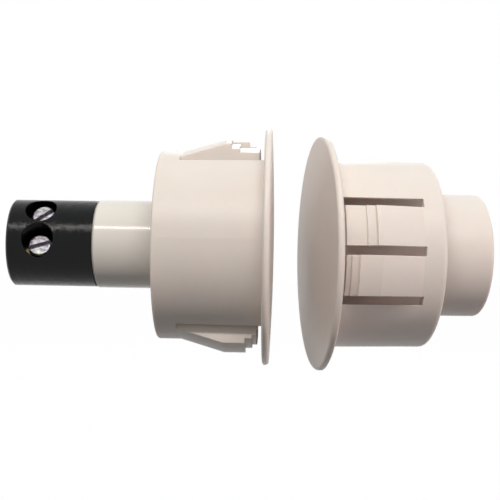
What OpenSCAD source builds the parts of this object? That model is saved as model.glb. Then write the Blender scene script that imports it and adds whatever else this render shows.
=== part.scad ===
// Recessed magnetic contact for a drilled steel door and frame: a switch half
// with screw terminals, and the magnet half that faces it across the door gap.
// Each half is pushed into a round hole and held there by four snap fingers.
// The origin is the centre of the switch half's flange back face. +X runs along
// the switch half's axis towards the magnet, and +Z is up. Within each half,
// depth is counted along its own axis from the flange's back face to the rear.

/* [Flange] */
// Diameter of each flange
flange_d = 31.75; // [29.5:0.25:36]
// Thickness of a flange just inside its rounded edge
flange_rim_t = 0.7; // [0.6:0.05:1.2]
// Height of the shallow dome above the rim
flange_dome_h = 0.4; // [0.3:0.05:1.5]
// Radius of the rounded front edge
flange_edge_r = 0.45; // [0.15:0.05:0.5]

/* [Adapter body] */
// Diameter of the body where it meets the flange
body_d = 25.4; // [24.5:0.1:26.5]
// How much smaller the radius of the guide band at the rear is
body_draft = 0.1; // [0.05:0.01:0.25]
// Length of the body behind the flange
body_len = 14.15; // [13.2:0.05:18]
// Thickness of the body's wall
body_wall = 1.3; // [1:0.05:1.7]
// Radius of the rear edge on the switch half
switch_rear_r = 0.3; // [0.1:0.05:0.8]
// Radius of the rear edge on the magnet half
magnet_rear_r = 0.7; // [0.3:0.05:1.2]

/* [Snap fingers] */
// Width of the window that holds a pair of fingers
window_w = 13.6; // [11.5:0.1:14]
// Length of the window, from the flange to the roots of the fingers
window_len = 11.3; // [10.5:0.1:11.6]
// Width of the slot between the two fingers of a pair
middle_slot = 1.2; // [0.8:0.1:2]
// Width of the slot beside each finger
side_slot = 1.1; // [0.8:0.1:1.6]
// Gap between the free tips and the flange
tip_gap = 0.9; // [0.5:0.05:1.1]
// How far the crest of a finger stands out past the guide band
crest_rise = 1.7; // [1.3:0.02:2.2]
// Length of the ramp from its foot up to the crest
ramp_len = 5.8; // [5.4:0.1:6.8]
// Rise of the middle step
middle_rise = 1.07; // [0.8:0.01:1.2]
// Rise of the lowest step, at the tip
tip_rise = 0.6; // [0.3:0.01:0.7]
// Panel thickness that the crest of a thin panel finger grips behind
thin_crest_catch = 2.4; // [2.2:0.05:3]
// Panel thickness that its middle step grips behind
thin_middle_catch = 1.5; // [1.2:0.05:1.8]
// Panel thickness that the crest of a thick panel finger grips behind
thick_crest_catch = 4.65; // [4.3:0.01:5]
// Panel thickness that its middle step grips behind
thick_middle_catch = 3.5; // [3.1:0.05:4]

/* [Reed tube] */
// Outer diameter of the tube that holds the reed switch
tube_d = 11.8; // [11:0.1:12.4]
// Wall of the tube
tube_wall = 1.2; // [1:0.05:1.4]
// Thickness of the tube's closed front end
tube_floor = 1; // [0.6:0.1:1.5]
// Length of tube that stands out behind the body
tube_reach = 8.5; // [7:0.05:12]
// Chamfer around the tube's open end
tube_chamfer = 0.3; // [0.1:0.05:0.5]
// Wall of the adapter's socket around the tube
socket_wall = 1.2; // [0.8:0.1:2]
// How far the socket ends before the body does
socket_setback = 1; // [0.5:0.1:3]
// Radial clearance of each piece that is pushed into another
push_gap = 0.03; // [0.01:0.01:0.06]

/* [Terminal block] */
// Diameter of the terminal block
block_d = 11.6; // [11:0.1:12]
// Length of the block behind the tube
block_len = 11.3; // [10:0.05:14]
// Chamfer around the block's end face
block_chamfer = 0.25; // [0.1:0.05:0.5]
// Length of the spigot that plugs into the tube
spigot_len = 5; // [3:0.1:6]
// Turn of the block about its axis, with 0 for screws that face straight to the front
block_turn = 28.4; // [0:0.1:45]
// Distance between the two terminals
terminal_pitch = 4.4; // [4.3:0.02:4.6]
// Distance from the end face to the screws
screw_setback = 4.2; // [3.6:0.05:5]
// Diameter of the two screwdriver holes
access_d = 4.15; // [3.7:0.05:4.2]
// Thickness of the wall behind the end face
end_wall = 1.4; // [1:0.1:1.8]
// Diameter of the wire entries
wire_d = 2.2; // [1.8:0.1:2.4]
// Depth of the funnel at each wire entry
funnel_depth = 0.4; // [0.2:0.05:0.6]

/* [Terminals] */
// Diameter of the turned brass clamp
clamp_d = 3.9; // [3.6:0.05:4]
// Length of the clamp
clamp_len = 7.2; // [6.5:0.1:8]
// Depth of the wire bore in the clamp
clamp_bore_len = 6; // [5.4:0.1:6.2]
// Diameter of the solder tail on the clamp
tail_d = 1.2; // [0.8:0.1:1.4]
// How far the tail stands out of the spigot
tail_reach = 1.2; // [0.8:0.1:2]
// Diameter of the clamping screw
screw_d = 3.15; // [2.9:0.05:3.3]
// Depth of the screw's face below the surface of the block
screw_recess = 1.9; // [1:0.05:2.1]
// Gap between the screw's tip and the wire bore
screw_tip_gap = 0.05; // [0:0.05:0.2]
// Chamfer around both ends of the screw
screw_chamfer = 0.2; // [0.1:0.05:0.3]
// Width of the screwdriver slot
slot_w = 0.6; // [0.5:0.05:0.8]
// Depth of the screwdriver slot
slot_depth = 0.8; // [0.5:0.05:1]
// Slope of the upper screw's slot
upper_slot_turn = 38; // [0:1:90]
// Slope of the lower screw's slot
lower_slot_turn = 18; // [0:1:90]

/* [Reed switch] */
// Diameter of the glass capsule
glass_d = 2.2; // [1.8:0.1:2.6]
// Thickness of the glass
glass_wall = 0.25; // [0.2:0.05:0.35]
// Length of solid glass that seals each lead
seal_len = 1.4; // [1:0.1:2]
// Diameter of the reed leads and the return wire
lead_d = 0.6; // [0.4:0.05:0.7]
// Width of the flat reed blades
blade_w = 1.1; // [0.8:0.05:1.2]
// Thickness of the flat reed blades
blade_t = 0.2; // [0.15:0.01:0.25]
// Length over which the two blades lie across each other
blade_overlap = 0.8; // [0.4:0.1:1.2]
// Open gap between the two blades
contact_gap = 0.06; // [0.04:0.01:0.1]
// Length of lead left straight at each end of the glass
lead_stub = 0.8; // [0.5:0.1:1.2]
// Distance from the tube's floor to the centre of the return wire's bend
return_room = 0.9; // [0.7:0.1:1.5]
// Length of return wire that runs straight in to the front lead
return_stub = 0.7; // [0.5:0.1:1]
// Length of wire that runs straight in to each tail
tail_run = 1.3; // [1:0.1:2]
// Outer diameter of the insulating sleeve on the return wire
insulation_d = 1.1; // [0.9:0.05:1.3]
// Bare length of return wire at each end of its sleeve
insulation_inset = 1.2; // [0.8:0.1:2]

/* [Magnet half] */
// Outer diameter of the neck that holds the magnet
neck_d = 16.7; // [15.8:0.1:18]
// Length of neck that stands out behind the body
neck_reach = 7.5; // [6:0.05:10]
// Radius of the neck's rear edge
neck_edge_r = 0.5; // [0.4:0.05:1.3]
// Diameter of the magnet
magnet_d = 12.7; // [11:0.1:13]
// Thickness of the potting that closes the neck
potting_t = 2; // [1:0.1:4]
// Depth of the potting below the neck's end
potting_recess = 0.4; // [0.1:0.1:1]

/* [Placing of the halves] */
// Distance between the back faces of the two flanges
half_spacing = 7.48; // [6.2:0.02:30]
// How far the magnet half lies below the switch half's axis
half_drop = 0.74; // [0:0.02:3]
// How far the magnet half lies behind the switch half's axis
half_back = 1.5; // [0:0.1:3]
// Turn of the magnet half about the vertical
half_yaw = 8.4; // [0:0.1:12]
// Turn of the switch half's adapter about its own axis
switch_roll = 4; // [0:0.5:10]
// Turn of the magnet half about its own axis
magnet_roll = 2; // [0:0.5:10]

/* [Hidden] */
$fn = 96;

// Extra length of a cutting shape past the face that it opens
over = 1;
// Depth to which walls run into the flange that carries them
root_sink = 0.3;
// Length of plain taper between the windows and the guide band
guide_lead = 0.3;
// Distance in front of the roots at which the ramps start
foot_inset = 0.25;
// Length over which the body's wall runs on beneath the foot of a ramp
foot_cover = 0.3;
// Length of finger that is buried in the body behind the foot of its ramp
finger_bury = 0.4;
// Segments of the large circle that the dome follows
dome_segments = 720;
// Height of the cut that leaves a small flat at the middle of the dome
dome_flat_cut = 0.002;

flange_r = flange_d / 2;
flange_crown_t = flange_rim_t + flange_dome_h;
dome_span = flange_r - flange_edge_r;
dome_r = (dome_span ^ 2 + flange_dome_h ^ 2) / (2 * flange_dome_h);

body_r = body_d / 2;
guide_r = body_r - body_draft;
bore_r = guide_r - body_wall;
guide_start = window_len + guide_lead;

finger_w = (window_w - middle_slot) / 2 - side_slot;
foot_depth = window_len - foot_inset;
finger_end = foot_depth + finger_bury;
ramp_angle = atan(crest_rise / ramp_len);
// A round bar of this radius, tilted by the ramp's angle, follows the body's curve
ramp_r = guide_r / cos(ramp_angle);
ramp_offset = guide_r * tan(ramp_angle) ^ 2;

tube_r = tube_d / 2;
tube_bore_r = tube_r - tube_wall;
tube_len = body_len + tube_reach;
socket_r = tube_r + push_gap;
socket_len = body_len - socket_setback;

block_r = block_d / 2;
block_end = tube_len + block_len;
spigot_start = tube_len - spigot_len;
terminal_z = terminal_pitch / 2;
screw_s = block_end - screw_setback;
clamp_rear = block_end - end_wall;
wire_r = wire_d / 2;
tail_end = spigot_start - tail_reach;

// Height of the block's surface above its middle at the line of the screws
screw_surface = sqrt(block_r ^ 2 - terminal_z ^ 2);
screw_face = screw_surface - screw_recess;
screw_tip = wire_r + screw_tip_gap;
screw_len = screw_face - screw_tip;
screw_r = screw_d / 2;

lead_r = lead_d / 2;
glass_r = glass_d / 2;
return_s = tube_floor + return_room;
front_joint = return_s + return_stub;
glass_start = front_joint + lead_stub;
rear_bend = tail_end - tail_run;
glass_end = rear_bend - lead_stub;
glass_mid = (glass_start + glass_end) / 2;
cavity_r = glass_r - glass_wall;
cavity_start = glass_start + seal_len;
cavity_end = glass_end - seal_len;
// Depths between which the cavity is wide enough for the flat blades
blade_start = cavity_start + cavity_r;
blade_end = cavity_end - cavity_r;

neck_r = neck_d / 2;
neck_len = body_len + neck_reach;
magnet_r = magnet_d / 2;
potting_rear = neck_len - potting_recess;
magnet_len = potting_rear - potting_t;

white_plastic = "whitesmoke";
tube_plastic = "snow";
black_plastic = "#1c1c1e";

// Places something in the switch half's own frame, where depth runs along +X
module in_switch_half() {
    rotate([0, 0, 180]) children();
}

// The same for the magnet half
module in_magnet_half() {
    translate([half_spacing, half_back, -half_drop]) rotate([0, 0, half_yaw]) children();
}

// The switch half's frame turned so that the screws face +Y and are stacked along Z
module in_terminals() {
    in_switch_half() rotate([block_turn, 0, 0]) children();
}

// Stands a shape that was drawn along +Z on the axis, from a given depth on
module along_axis(depth = 0) {
    translate([depth, 0, 0]) rotate([0, 90, 0]) children();
}

// Round bar along the axis between two depths
module bar(r, from, to) {
    along_axis(from) cylinder(r = r, h = to - from);
}

// Half section of the domed flange, with radius across and depth up
module flange_section() {
    edge_depth = flange_rim_t - flange_edge_r;
    intersection() {
        translate([0, dome_r - flange_crown_t]) circle(dome_r, $fn = dome_segments);
        translate([0, dome_flat_cut - flange_crown_t])
            square([dome_span, flange_crown_t - dome_flat_cut]);
    }
    translate([dome_span, -edge_depth]) circle(flange_edge_r);
    translate([dome_span - flange_edge_r, -edge_depth]) square([2 * flange_edge_r, edge_depth]);
}

// Half section of a plug with a rounded rear edge, from a polygon without that edge
module rounded_rear_section(r, length, edge_r) {
    translate([r - edge_r, length - edge_r]) circle(edge_r);
}

// Half section of the body before it is bored and windowed
module body_section(edge_r) {
    polygon([
        [0, -root_sink], [body_r, -root_sink], [body_r, 0], [guide_r, guide_start],
        [guide_r, body_len - edge_r], [guide_r - edge_r, body_len], [0, body_len]
    ]);
    rounded_rear_section(guide_r, body_len, edge_r);
}

// Cut through the wall on the -Y side, from the flange to a given depth
module window_cut(depth, bottom, width) {
    translate([-over, -body_r - over, bottom]) cube([depth + over, body_r + over, width]);
}

// Window for one pair of fingers, with three slots that run on between their roots
module window() {
    window_cut(foot_depth - foot_cover, -window_w / 2, window_w);
    window_cut(window_len, -middle_slot / 2, middle_slot);
    for (bottom = [-window_w / 2, window_w / 2 - side_slot])
        window_cut(window_len, bottom, side_slot);
}

// Body of a finger from a given depth back to its root, standing out by a rise
module finger_stage(from, rise) {
    translate([0, -rise, 0]) bar(guide_r, from, finger_end);
}

// Tilted round bar whose lowest line is the ramp from its foot to the crest
module ramp() {
    translate([foot_depth, ramp_offset, 0]) rotate([0, 0, ramp_angle])
        bar(ramp_r, -2 * window_len, window_len);
}

// One stepped snap finger on the -Y side, between two heights
module finger(bottom, crest_catch, middle_catch) {
    intersection() {
        translate([tip_gap, -guide_r - crest_rise - over, bottom])
            cube([finger_end - tip_gap, guide_r + crest_rise + over - bore_r / 2, finger_w]);
        ramp();
        union() {
            finger_stage(crest_catch, crest_rise);
            finger_stage(middle_catch, middle_rise);
            finger_stage(0, tip_rise);
        }
    }
}

// The thick panel finger above the thin panel finger
module finger_pair() {
    finger(middle_slot / 2, thick_crest_catch, thick_middle_catch);
    finger(-middle_slot / 2 - finger_w, thin_crest_catch, thin_middle_catch);
}

// Two copies of a shape on opposite sides of the axis
module on_both_sides() {
    for (turn = [0, 180]) rotate([turn, 0, 0]) children();
}

// Domed flange and open-backed body with its four snap fingers
module adapter_shell(rear_edge_r) {
    along_axis() rotate_extrude() flange_section();
    difference() {
        union() {
            difference() {
                along_axis() rotate_extrude() body_section(rear_edge_r);
                on_both_sides() window();
            }
            on_both_sides() finger_pair();
        }
        bar(bore_r, -over, body_len + over);
    }
}

// Adapter of the switch half, with the socket for the reed tube
module switch_adapter() {
    color(white_plastic) in_switch_half() rotate([90 + switch_roll, 0, 0]) {
        adapter_shell(switch_rear_r);
        difference() {
            bar(socket_r + socket_wall, -root_sink, socket_len);
            bar(socket_r, -over, socket_len + over);
        }
    }
}

// Tube with a closed front end and a chamfered rear edge
module reed_tube() {
    color(tube_plastic) in_switch_half() difference() {
        along_axis() rotate_extrude() polygon([
            [0, 0], [tube_r, 0], [tube_r, tube_len - tube_chamfer],
            [tube_r - tube_chamfer, tube_len], [0, tube_len]
        ]);
        bar(tube_bore_r, tube_floor, tube_len + over);
    }
}

// Capsule with round ends
module capsule(r, from, to) {
    bar(r, from + r, to - r);
    for (s = [from + r, to - r]) translate([s, 0, 0]) sphere(r);
}

// Bent wire through a list of [depth, height] points, with round elbows
module wire(r, points) {
    for (i = [1 : len(points) - 1]) {
        start = points[i - 1];
        end = points[i];
        run = end - start;
        translate([start[0], 0, start[1]]) rotate([0, atan2(run[0], run[1]), 0])
            cylinder(r = r, h = norm(run));
        if (i < len(points) - 1) translate([end[0], 0, end[1]]) sphere(r);
    }
}

// Route of the wire that brings the front lead back to the upper terminal
module return_route() {
    wire(lead_r, [[front_joint, 0], [return_s, 0], [return_s, terminal_z], [tail_end, terminal_z]]);
}

// Insulation on the straight run of the return wire, as a solid rod
module insulation_rod() {
    translate([0, 0, terminal_z])
        bar(insulation_d / 2, return_s + insulation_inset, tail_end - insulation_inset);
}

// Route of the rear lead from its blade to the lower terminal
module rear_route() {
    wire(lead_r, [
        [blade_end - lead_r, 0], [rear_bend, 0], [rear_bend, -terminal_z], [tail_end, -terminal_z]
    ]);
}

// Solder tail of the upper terminal, or of the lower one where side is -1
module tail(side) {
    translate([0, 0, side * terminal_z]) bar(tail_d / 2, tail_end, clamp_rear - clamp_len + over);
}

// Resin that fills the tube around the reed switch and its wires
module tube_potting() {
    color("dimgray") in_terminals() difference() {
        bar(tube_bore_r, tube_floor, spigot_start);
        capsule(glass_r, glass_start, glass_end);
        bar(lead_r, front_joint, glass_mid);
        return_route();
        insulation_rod();
        rear_route();
        for (side = [-1, 1]) tail(side);
    }
}

// Glass capsule, hollow between the seals
module reed_glass() {
    color("palegreen", 0.5) in_terminals() difference() {
        capsule(glass_r, glass_start, glass_end);
        capsule(cavity_r, cavity_start, cavity_end);
        bar(lead_r, glass_start - over, glass_end + over);
    }
}

// Flat blade between two depths, on the given side of the contact gap
module blade(from, to, side) {
    translate([from, side * (contact_gap + blade_t) / 2 - blade_t / 2, -blade_w / 2])
        cube([to - from, blade_t, blade_w]);
}

// Front reed, with its lead out towards the flange
module front_reed() {
    color("silver") in_terminals() {
        bar(lead_r, front_joint, blade_start + lead_r);
        blade(blade_start, glass_mid + blade_overlap / 2, 1);
    }
}

// Rear reed, with its lead bent to the lower terminal
module rear_reed() {
    color("silver") in_terminals() {
        rear_route();
        blade(glass_mid - blade_overlap / 2, blade_end, -1);
    }
}

// Wire that returns the front lead to the upper terminal
module return_wire() {
    color("silver") in_terminals() return_route();
}

// Insulating sleeve of the return wire
module return_insulation() {
    color("khaki") in_terminals() difference() {
        insulation_rod();
        return_route();
    }
}

// Black terminal block, with a bore for each clamp and a screwdriver hole over it
module terminal_block() {
    color(black_plastic) in_terminals() difference() {
        union() {
            bar(tube_bore_r - push_gap, spigot_start, tube_len + root_sink);
            along_axis() rotate_extrude() polygon([
                [0, tube_len], [block_r, tube_len], [block_r, block_end - block_chamfer],
                [block_r - block_chamfer, block_end], [0, block_end]
            ]);
        }
        for (side = [-1, 1]) translate([0, 0, side * terminal_z]) {
            bar(clamp_d / 2 + push_gap, spigot_start - over, clamp_rear);
            bar(wire_r, clamp_rear - over, block_end + over);
            along_axis(block_end - funnel_depth)
                cylinder(r1 = wire_r, r2 = wire_r + funnel_depth, h = funnel_depth);
            translate([screw_s, 0, 0]) rotate([-90, 0, 0]) cylinder(d = access_d, h = block_d);
        }
    }
}

// Turned brass clamp with a wire bore, a tapped cross hole and a solder tail
module clamp(side) {
    color("goldenrod") in_terminals() {
        tail(side);
        translate([0, 0, side * terminal_z]) difference() {
            bar(clamp_d / 2, clamp_rear - clamp_len, clamp_rear);
            bar(wire_r, clamp_rear - clamp_bore_len, clamp_rear + over);
            translate([screw_s, 0, 0]) rotate([-90, 0, 0])
                cylinder(r = screw_r + push_gap, h = clamp_d);
        }
    }
}

module upper_clamp() {
    clamp(1);
}

module lower_clamp() {
    clamp(-1);
}

// Headless slotted screw above the wire bore of a clamp
module screw(side, slot_turn) {
    color("silver") in_terminals() translate([screw_s, screw_tip, side * terminal_z])
        rotate([-90, 0, 0]) difference() {
            rotate_extrude() polygon([
                [0, 0], [screw_r - screw_chamfer, 0], [screw_r, screw_chamfer],
                [screw_r, screw_len - screw_chamfer], [screw_r - screw_chamfer, screw_len],
                [0, screw_len]
            ]);
            rotate([0, 0, slot_turn]) translate([-screw_d, -slot_w / 2, screw_len - slot_depth])
                cube([2 * screw_d, slot_w, slot_depth + over]);
        }
}

module upper_screw() {
    screw(1, upper_slot_turn);
}

module lower_screw() {
    screw(-1, lower_slot_turn);
}

// Half section of the neck before it is bored
module neck_section() {
    polygon([
        [0, -root_sink], [neck_r, -root_sink], [neck_r, neck_len - neck_edge_r],
        [neck_r - neck_edge_r, neck_len], [0, neck_len]
    ]);
    rounded_rear_section(neck_r, neck_len, neck_edge_r);
}

// Adapter of the magnet half, with the long neck that holds the magnet
module magnet_adapter() {
    color(white_plastic) in_magnet_half() rotate([-magnet_roll, 0, 0]) {
        adapter_shell(magnet_rear_r);
        difference() {
            along_axis() rotate_extrude() neck_section();
            bar(magnet_r + push_gap, -over, neck_len + over);
        }
    }
}

// Round bar magnet, from the flange to the potting
module magnet() {
    color("gray") in_magnet_half() bar(magnet_r, 0, magnet_len);
}

// Resin that closes the neck behind the magnet
module magnet_potting() {
    color("gainsboro") in_magnet_half() bar(magnet_r + push_gap, magnet_len, potting_rear);
}

switch_adapter();
reed_tube();
tube_potting();
reed_glass();
front_reed();
rear_reed();
return_wire();
return_insulation();
terminal_block();
upper_clamp();
lower_clamp();
upper_screw();
lower_screw();
magnet_adapter();
magnet();
magnet_potting();
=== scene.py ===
"""Dresses the recessed magnetic contact: a white switch half with a black
terminal block, and a white magnet half, on plain white."""
import math

import bpy
from mathutils import Matrix, Vector


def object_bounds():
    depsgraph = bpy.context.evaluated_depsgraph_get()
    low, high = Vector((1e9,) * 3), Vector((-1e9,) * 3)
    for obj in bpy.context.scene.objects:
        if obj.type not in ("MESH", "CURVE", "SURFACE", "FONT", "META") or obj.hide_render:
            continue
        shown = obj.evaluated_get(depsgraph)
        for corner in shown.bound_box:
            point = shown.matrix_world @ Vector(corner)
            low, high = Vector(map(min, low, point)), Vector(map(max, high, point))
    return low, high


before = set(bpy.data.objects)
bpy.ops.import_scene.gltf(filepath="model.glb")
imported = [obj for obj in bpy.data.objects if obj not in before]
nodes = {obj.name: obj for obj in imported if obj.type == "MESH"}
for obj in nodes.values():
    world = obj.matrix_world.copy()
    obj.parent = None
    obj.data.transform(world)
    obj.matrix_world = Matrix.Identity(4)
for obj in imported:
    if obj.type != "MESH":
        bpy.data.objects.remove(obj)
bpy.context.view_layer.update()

MM = 0.001
WHITE = (1, 1, 1, 1)

# Camera, from the photograph's perspective
PHOTO_PX = 500
FOCAL_PX = 1080
MM_PER_PX = 0.135
SENSOR_MM = 36
CLIP_START = 0.005
CLIP_END = 20
CAMERA_X = 2.23 * MM
CAMERA_Z = -0.49 * MM
CAMERA_YAW = math.radians(1.7)
CAMERA_ROLL = math.radians(1.0)

# Soft lamps aimed at the origin. Azimuth counts from the camera's side to the right, in degrees.
LAMPS = {
    "key": {"size": (0.42, 0.03), "watts": 1.3, "color": (1.0, 0.96, 0.91),
            "distance": 0.45, "azimuth": 0, "elevation": 43},
    "fill": {"size": (0.12, 0.12), "watts": 0.75, "color": (1.0, 0.84, 0.86),
             "distance": 0.5, "azimuth": 78, "elevation": -3},
    "back": {"size": (0.08, 0.1), "watts": 0.4, "color": (0.9, 1.0, 0.99),
             "distance": 0.5, "azimuth": 180, "elevation": 24},
}

# World light: colour at the horizon and overhead, strength straight below and straight above
AMBIENT_WARM = (1.0, 0.925, 0.86)
AMBIENT_COOL = (0.84, 1.0, 0.99)
AMBIENT_BELOW = 0.02
AMBIENT_ABOVE = 0.75

# Floor: it lights the object by its dull colours, but looks white. The share is how much of
# what is seen takes shadow.
FLOOR_DROP = 45 * MM
FLOOR_SIZE = 4.0
FLOOR_SHADOW_SHARE = 0.02
FLOOR_DULL = ((0.055, 0.055, 0.055), (0.075, 0.075, 0.075))
FLOOR_PALE = (0.9, 0.9, 0.9, 1)

# Nodes: colour sockets of a Mix node, the range of most noise values, and samples of a soft edge
MIX_FIRST, MIX_SECOND, MIX_RESULT = 6, 7, 2
MOST_NOISE = (0.3, 0.7)
EDGE_SAMPLES = 6


def make_camera():
    """Camera level with the switch half's axis, at the photograph's distance."""
    distance = FOCAL_PX * MM_PER_PX * MM
    data = bpy.data.cameras.new("camera")
    data.sensor_width = SENSOR_MM
    data.lens = FOCAL_PX * SENSOR_MM / PHOTO_PX
    data.clip_start = CLIP_START
    data.clip_end = CLIP_END
    camera = bpy.data.objects.new("camera", data)
    bpy.context.scene.collection.objects.link(camera)
    looking_along_y = Matrix.Rotation(math.radians(90), 4, "X")
    yaw = Matrix.Rotation(CAMERA_YAW, 4, "Z")
    roll = Matrix.Rotation(CAMERA_ROLL, 4, "Z")
    place = Matrix.Translation((CAMERA_X, -distance, CAMERA_Z))
    camera.matrix_world = place @ yaw @ looking_along_y @ roll
    bpy.context.scene.camera = camera


def make_lamp(name, size, watts, color, distance, azimuth, elevation):
    """Rectangular lamp at a distance and two angles from the origin, turned towards it."""
    data = bpy.data.lights.new(name, "AREA")
    data.shape = "RECTANGLE"
    data.size, data.size_y = size
    data.energy = watts
    data.color = color
    lamp = bpy.data.objects.new(name, data)
    bpy.context.scene.collection.objects.link(lamp)
    azimuth, elevation = math.radians(azimuth), math.radians(elevation)
    place = distance * Vector((math.sin(azimuth) * math.cos(elevation),
                               -math.cos(azimuth) * math.cos(elevation),
                               math.sin(elevation)))
    lamp.location = place
    lamp.rotation_euler = (-place).to_track_quat("-Z", "Y").to_euler()
    lamp.visible_camera = False


class Shader:
    """A node material, with short calls to add nodes and to link them."""

    def __init__(self, name):
        self.material = bpy.data.materials.new(name)
        self.material.use_nodes = True
        self.tree = self.material.node_tree
        self.surface = self.tree.nodes["Principled BSDF"]
        self.object_space = self.add("ShaderNodeTexCoord").outputs["Object"]

    def add(self, kind, settings=None, **inputs):
        """Adds a node. An input is a number or colour, or a socket to link from."""
        node = self.tree.nodes.new(kind)
        for key, value in (settings or {}).items():
            setattr(node, key, value)
        for key, value in inputs.items():
            self.feed(node.inputs[key.replace("_", " ")], value)
        return node

    def feed(self, socket, value):
        """Links a socket to an input, or sets the input's value."""
        if isinstance(value, bpy.types.NodeSocket):
            self.tree.links.new(value, socket)
        else:
            socket.default_value = value

    def noise(self, scale, detail=3.0, roughness=0.5, stretch=None):
        """Noise from 0 to 1 in the object's own space, scaled by axis if asked."""
        space = self.object_space
        if stretch:
            space = self.add("ShaderNodeMapping", Vector=space, Scale=stretch).outputs["Vector"]
        node = self.add("ShaderNodeTexNoise", Vector=space, Scale=scale, Detail=detail,
                        Roughness=roughness)
        return node.outputs["Fac"]

    def remap(self, value, old, new):
        """Carries an old range, from low to high, over to a new one."""
        node = self.add("ShaderNodeMapRange", Value=value, From_Min=old[0], From_Max=old[1],
                        To_Min=new[0], To_Max=new[1])
        return node.outputs["Result"]

    def blend(self, factor, first, second):
        """Colour between two, by a factor from 0 to 1."""
        node = self.add("ShaderNodeMix", {"data_type": "RGBA"})
        self.feed(node.inputs["Factor"], factor)
        for index, value in ((MIX_FIRST, first), (MIX_SECOND, second)):
            linked = isinstance(value, bpy.types.NodeSocket)
            self.feed(node.inputs[index], value if linked else (*value, 1))
        return node.outputs[MIX_RESULT]

    def relief(self, height, strength, distance, under=None):
        """Bump normal from a height, over another normal if one is given."""
        node = self.add("ShaderNodeBump", Height=height, Strength=strength, Distance=distance)
        if under is not None:
            self.feed(node.inputs["Normal"], under)
        return node.outputs["Normal"]

    def soft_edges(self, radius):
        """Normal that rounds sharp edges by a radius."""
        node = self.add("ShaderNodeBevel", {"samples": EDGE_SAMPLES}, Radius=radius)
        return node.outputs["Normal"]

    def finish(self, **inputs):
        """Feeds inputs of the surface and returns the material."""
        for key, value in inputs.items():
            self.feed(self.surface.inputs[key.replace("_", " ")], value)
        return self.material


def moulded_plastic(name, light, dark, roughness, edge, specular, warmth=0.0):
    """Moulded plastic: faint flow mottle, fine grain, uneven gloss and soft edges.
    Warmth is the share of light that spreads below the surface."""
    shader = Shader(name)
    mottle = shader.noise(90.0, detail=4.0, roughness=0.6)
    flow = shader.noise(40.0, detail=2.0, stretch=(0.35, 1.0, 1.0))
    color = shader.blend(shader.remap(mottle, MOST_NOISE, (0.0, 1.0)), dark, light)
    gloss = shader.remap(flow, MOST_NOISE, (roughness - 0.04, roughness + 0.04))
    grain = shader.relief(shader.noise(4200.0, detail=2.0), strength=0.1, distance=0.03 * MM,
                          under=shader.soft_edges(edge))
    waves = shader.relief(shader.noise(150.0), strength=0.06, distance=0.4 * MM, under=grain)
    material = shader.finish(Base_Color=color, Roughness=gloss, Normal=waves,
                             Specular_IOR_Level=specular)
    if warmth:
        shader.finish(Subsurface_Weight=warmth, Subsurface_Radius=(1.0, 0.55, 0.4),
                      Subsurface_Scale=1.0 * MM)
    return material


def block_plastic(light, dark, edge, specular):
    """Black plastic with patchy gloss and fine handling scratches."""
    shader = Shader("block_black")
    color = shader.blend(shader.noise(300.0, detail=4.0, roughness=0.6), dark, light)
    scuffs = shader.noise(700.0, detail=4.0, roughness=0.7, stretch=(2.0, 0.5, 0.5))
    gloss = shader.remap(scuffs, (0.35, 0.65), (0.08, 0.24))
    scratches = shader.noise(500.0, detail=4.0, roughness=0.7, stretch=(4.0, 1.0, 1.0))
    scratched = shader.relief(scratches, strength=0.6, distance=0.2 * MM,
                              under=shader.soft_edges(edge))
    grain = shader.relief(shader.noise(5000.0, detail=2.0), strength=0.08, distance=0.03 * MM,
                          under=scratched)
    return shader.finish(Base_Color=color, Roughness=gloss, Normal=grain,
                         Specular_IOR_Level=specular)


def plated_metal(name, first, second, roughness, stretch, edge, wear_and_reflection_streaks=None):
    """Plated or turned metal: tint that drifts, tool marks and soft edges. The streak colour, if
    given, darkens streaks along the marks: partly wear, and partly a painted reflection of dark
    surroundings."""
    shader = Shader(name)
    drift = shader.remap(shader.noise(420.0, detail=2.0), (0.35, 0.65), (0.0, 1.0))
    marks = shader.noise(2600.0, detail=5.0, roughness=0.7, stretch=stretch)
    gloss = shader.remap(marks, MOST_NOISE, (roughness - 0.08, roughness + 0.12))
    normal = shader.relief(marks, strength=0.35, distance=0.06 * MM,
                           under=shader.soft_edges(edge))
    color = shader.blend(drift, first, second)
    # Dark streaks along the marks: wear, and painted reflection of dark surroundings
    if wear_and_reflection_streaks:
        color = shader.blend(shader.remap(marks, (0.42, 0.58), (0.0, 1.0)), wear_and_reflection_streaks, color)
    return shader.finish(Base_Color=color, Metallic=1.0, Roughness=gloss, Normal=normal)


def cast_resin(name, light, dark, roughness):
    """Cast resin: cloudy colour and a slightly uneven surface."""
    shader = Shader(name)
    cloud = shader.noise(220.0, detail=5.0, roughness=0.65)
    wave = shader.relief(shader.noise(260.0, detail=2.0), strength=0.2, distance=0.4 * MM)
    specks = shader.noise(2400.0, detail=2.0)
    gloss = shader.remap(specks, MOST_NOISE, (roughness - 0.05, roughness + 0.08))
    return shader.finish(Base_Color=shader.blend(cloud, dark, light), Roughness=gloss,
                         Normal=wave)


def capsule_glass():
    """Green-tinted reed glass with fine drawn streaks along it."""
    shader = Shader("capsule_glass")
    streaks = shader.noise(900.0, stretch=(0.15, 1.0, 1.0))
    color = shader.blend(streaks, (0.55, 0.75, 0.58), (0.72, 0.88, 0.75))
    wave = shader.relief(streaks, strength=0.05, distance=0.05 * MM)
    gloss = shader.remap(streaks, MOST_NOISE, (0.02, 0.07))
    return shader.finish(Base_Color=color, Roughness=gloss, Normal=wave,
                         Transmission_Weight=0.9, IOR=1.48)


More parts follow.
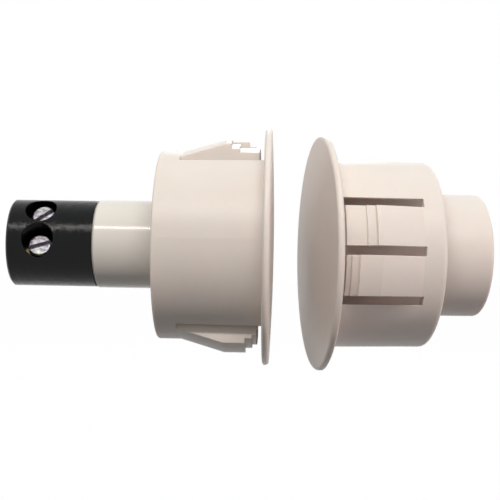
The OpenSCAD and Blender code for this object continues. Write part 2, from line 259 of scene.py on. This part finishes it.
def wire_sleeve():
    """Woven varnished sleeve, straw coloured."""
    shader = Shader("wire_sleeve")
    bands = {"wave_type": "BANDS", "bands_direction": "DIAGONAL"}
    weave = shader.add("ShaderNodeTexWave", bands, Vector=shader.object_space,
                       Scale=1400.0, Distortion=1.5).outputs["Fac"]
    color = shader.blend(weave, (0.42, 0.34, 0.12), (0.62, 0.54, 0.26))
    return shader.finish(Base_Color=color,
                         Roughness=shader.remap(weave, (0.0, 1.0), (0.4, 0.6)),
                         Normal=shader.relief(weave, strength=0.4, distance=0.05 * MM))


def dress(material, *names):
    """Gives CAD nodes a material in place of their own."""
    for name in names:
        slots = nodes[name].data.materials
        slots.clear()
        slots.append(material)


def seen_directly(shader):
    """1 for rays from the camera, a mirror or glass, and 0 for all others."""
    rays = shader.add("ShaderNodeLightPath").outputs
    glossy = shader.add("ShaderNodeMath", {"operation": "MAXIMUM"})
    shader.feed(glossy.inputs[0], rays["Is Camera Ray"])
    shader.feed(glossy.inputs[1], rays["Is Glossy Ray"])
    seen = shader.add("ShaderNodeMath", {"operation": "MAXIMUM"})
    shader.feed(seen.inputs[0], glossy.outputs[0])
    shader.feed(seen.inputs[1], rays["Is Transmission Ray"])
    return seen.outputs[0]


def mix_shaders(shader, factor, first, second):
    """First shader where the factor is 0, and the second where it is 1."""
    node = shader.add("ShaderNodeMixShader")
    for socket, value in zip(node.inputs, (factor, first, second)):
        shader.feed(socket, value)
    return node.outputs[0]


def make_floor():
    """Floor that looks white, keeps a faint shadow and bounces little light."""
    low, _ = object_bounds()
    bpy.ops.mesh.primitive_plane_add(size=FLOOR_SIZE, location=(0, 0, low[2] - FLOOR_DROP))
    floor = bpy.context.object
    floor.name = "floor"
    shader = Shader("floor_white")
    paper = shader.noise(60.0, detail=5.0, roughness=0.6)
    shader.finish(Base_Color=shader.blend(paper, *FLOOR_DULL), Roughness=0.9)
    dull = shader.surface.outputs["BSDF"]
    glow = shader.add("ShaderNodeEmission", Strength=1.0).outputs[0]
    pale = shader.add("ShaderNodeBsdfDiffuse", Color=FLOOR_PALE).outputs[0]
    white = mix_shaders(shader, FLOOR_SHADOW_SHARE, glow, pale)
    shader.feed(shader.tree.nodes["Material Output"].inputs["Surface"],
                mix_shaders(shader, seen_directly(shader), dull, white))
    floor.data.materials.append(shader.material)


class WorldShader(Shader):
    """The world's nodes, with the same short calls."""

    def __init__(self, name):
        world = bpy.data.worlds.new(name)
        bpy.context.scene.world = world
        world.use_nodes = True
        self.tree = world.node_tree


def make_world():
    """White where it is seen, and elsewhere a soft light, cool from above and faint from below."""
    shader = WorldShader("studio")
    direction = shader.add("ShaderNodeTexCoord").outputs["Generated"]
    height = shader.add("ShaderNodeSeparateXYZ", Vector=direction).outputs["Z"]
    ambient = shader.tree.nodes["Background"]
    upward = shader.remap(height, (0.0, 1.0), (0.0, 1.0))
    shader.feed(ambient.inputs["Color"], shader.blend(upward, AMBIENT_WARM, AMBIENT_COOL))
    shader.feed(ambient.inputs["Strength"],
                shader.remap(height, (-1.0, 1.0), (AMBIENT_BELOW, AMBIENT_ABOVE)))
    white = shader.add("ShaderNodeBackground", Color=WHITE, Strength=1.0)
    shader.feed(shader.tree.nodes["World Output"].inputs["Surface"],
                mix_shaders(shader, seen_directly(shader), ambient.outputs[0], white.outputs[0]))


make_camera()
make_world()
make_floor()
for lamp_name, settings in LAMPS.items():
    make_lamp(lamp_name, **settings)

dress(moulded_plastic("adapter_white", light=(0.82, 0.735, 0.685), dark=(0.79, 0.70, 0.65),
                      roughness=0.38, edge=0.12 * MM, specular=0.3, warmth=0.25),
      "switch_adapter", "magnet_adapter")
dress(moulded_plastic("tube_white", light=(0.80, 0.74, 0.69), dark=(0.77, 0.71, 0.66),
                      roughness=0.15, edge=0.1 * MM, specular=0.33),
      "reed_tube")
dress(block_plastic(light=(0.003, 0.0036, 0.0036), dark=(0.001, 0.0012, 0.0012),
                    edge=0.12 * MM, specular=0.19),
      "terminal_block")
# Screws: the dark streaks along the tool marks are partly wear and partly painted reflection of
# dark surroundings
dress(plated_metal("screw_zinc", (0.42, 0.40, 0.46), (0.40, 0.45, 0.32), roughness=0.34,
                   stretch=(0.5, 1.0, 1.0), edge=0.08 * MM, wear_and_reflection_streaks=(0.14, 0.13, 0.15)),
      "upper_screw", "lower_screw")
# Brass darkened far below its own colour: painted shade for the clamps down in the block's holes
dress(plated_metal("clamp_brass", (0.19, 0.145, 0.08), (0.13, 0.095, 0.05), roughness=0.36,
                   stretch=(8.0, 1.0, 1.0), edge=0.08 * MM),
      "upper_clamp", "lower_clamp")
dress(plated_metal("reed_metal", (0.62, 0.60, 0.56), (0.70, 0.68, 0.62), roughness=0.25,
                   stretch=(1.0, 6.0, 1.0), edge=0.03 * MM),
      "front_reed", "rear_reed")
dress(plated_metal("tinned_wire", (0.66, 0.65, 0.62), (0.74, 0.73, 0.70), roughness=0.22,
                   stretch=(1.0, 4.0, 4.0), edge=0.03 * MM),
      "return_wire")
dress(plated_metal("magnet_metal", (0.20, 0.20, 0.21), (0.28, 0.28, 0.29), roughness=0.38,
                   stretch=(10.0, 1.0, 1.0), edge=0.15 * MM),
      "magnet")
dress(cast_resin("tube_resin", light=(0.05, 0.047, 0.045), dark=(0.03, 0.028, 0.027),
                 roughness=0.3),
      "tube_potting")
dress(cast_resin("neck_resin", light=(0.74, 0.70, 0.63), dark=(0.64, 0.60, 0.54),
                 roughness=0.3),
      "magnet_potting")
dress(capsule_glass(), "reed_glass")
dress(wire_sleeve(), "return_insulation")

bpy.context.scene.view_settings.view_transform = "Standard"
